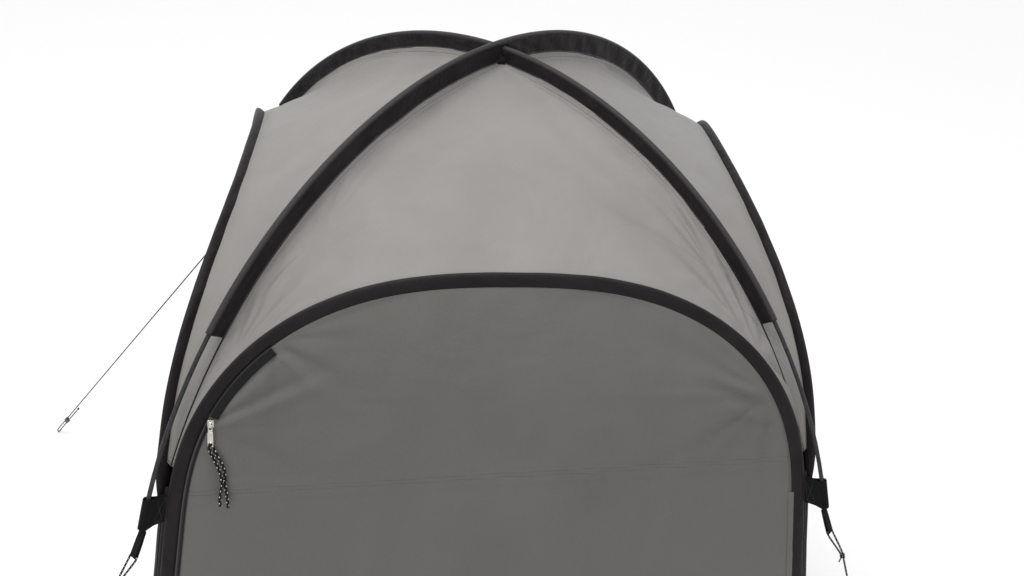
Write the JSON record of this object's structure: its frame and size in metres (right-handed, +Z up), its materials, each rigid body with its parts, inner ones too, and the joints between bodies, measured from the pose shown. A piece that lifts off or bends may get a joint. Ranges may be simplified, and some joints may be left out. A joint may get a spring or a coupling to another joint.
{
  "type": "upright dome shelter",
  "caption": "Upright square shelter with arched wall hoops, crossed roof poles, a zipped side-hung door and guy lines.",
  "frame": {"origin": "on the ground at the middle of the floor", "axes": "+Z up, -Y out of the door, +X to the right seen from the door side"},
  "size_m": [2.4793, 2.4793, 2.101],
  "materials": {
    "spring_wire": "plain drawn spring steel",
    "black_fabric": "black coated polyester binding with a faint sheen",
    "roof_fabric": "light warm grey coated polyester, fine plain weave",
    "wall_fabric": "dark warm grey coated polyester, fine plain weave",
    "ferrule_metal": "plated steel tube",
    "black_plastic": "moulded black plastic",
    "fibreglass": "dark grey pultruded rod",
    "elastic_cord": "white elastic shock cord",
    "webbing": "black woven webbing",
    "fleck_cord": "black braided cord with white flecks",
    "zip_metal": "plated zinc",
    "zip_tape": "black woven zip tape"
  },
  "bodies": {
    "shell": {"ground_band": "webbing", "peg_loops": "webbing", "hoop_wire_front": "spring_wire", "hoop_wire_right": "spring_wire", "hoop_wire_rear": "spring_wire", "hoop_wire_left": "spring_wire", "hoop_binding_front": "black_fabric", "hoop_binding_right": "black_fabric", "hoop_binding_rear": "black_fabric", "hoop_binding_left": "black_fabric", "wall_right": "wall_fabric", "wall_rear": "wall_fabric", "wall_left": "wall_fabric", "roof_front": "roof_fabric", "roof_right": "roof_fabric", "roof_rear": "roof_fabric", "roof_left": "roof_fabric", "pole_lower": "fibreglass", "pole_upper": "fibreglass", "pole_ferrules": "ferrule_metal", "pole_tips": "black_plastic", "shock_cords": "elastic_cord", "sleeve_front_left": "black_fabric", "sleeve_front_right": "black_fabric", "sleeve_rear_right": "black_fabric", "sleeve_rear_left": "black_fabric", "crossing_cover": "black_fabric", "pocket_front_left": "webbing", "pocket_front_right": "webbing", "pocket_rear_right": "webbing", "pocket_rear_left": "webbing", "ribbon_front_left": "webbing", "ribbon_front_right": "webbing", "ribbon_rear_right": "webbing", "ribbon_rear_left": "webbing", "guy_front_left": "fleck_cord", "guy_front_right": "fleck_cord", "guy_rear_right": "fleck_cord", "guy_rear_left": "fleck_cord", "guy_knots": "fleck_cord", "frame_zip_tape": "zip_tape"},
    "door": {"door_panel": "wall_fabric", "door_zip_tape": "zip_tape", "zip_flap": "zip_tape"},
    "slider": {"zip_slider": "zip_metal"},
    "puller": {"zip_puller": "zip_metal", "puller_cord": "fleck_cord", "puller_knot": "fleck_cord"},
    "runner_front_left": {"runner_front_left": "black_plastic"},
    "runner_front_right": {"runner_front_right": "black_plastic"},
    "runner_rear_right": {"runner_rear_right": "black_plastic"},
    "runner_rear_left": {"runner_rear_left": "black_plastic"}
  },
  "joints": [
    {"name": "door_swing", "type": "hinge", "parent": "shell", "child": "door", "pos_m": [0.71143, -0.75296, 0.0007], "axis": [-0.099, 0.099, 0.9901], "range_deg": [0, 90]},
    {"name": "zip_slide", "type": "slide", "parent": "door", "child": "slider", "axis": [-0.099, -0.099, -0.9901], "range_m": [0, 1.38]},
    {"name": "puller_flip", "type": "hinge", "parent": "slider", "child": "puller", "pos_m": [-0.51913, -0.59908, 1.56768], "axis": [-1, 0, 0], "range_deg": [0, 150]},
    {"name": "runner_front_left_slide", "type": "slide", "parent": "shell", "child": "runner_front_left", "axis": [0.2645, 0.2645, 0.9274], "range_m": [0, 0.1]},
    {"name": "runner_front_right_slide", "type": "slide", "parent": "shell", "child": "runner_front_right", "axis": [-0.2645, 0.2645, 0.9274], "range_m": [0, 0.1]},
    {"name": "runner_rear_right_slide", "type": "slide", "parent": "shell", "child": "runner_rear_right", "axis": [-0.2645, -0.2645, 0.9274], "range_m": [0, 0.1]},
    {"name": "runner_rear_left_slide", "type": "slide", "parent": "shell", "child": "runner_rear_left", "axis": [0.4561, -0.4561, 0.7641], "range_m": [0, 0.1]}
  ]
}
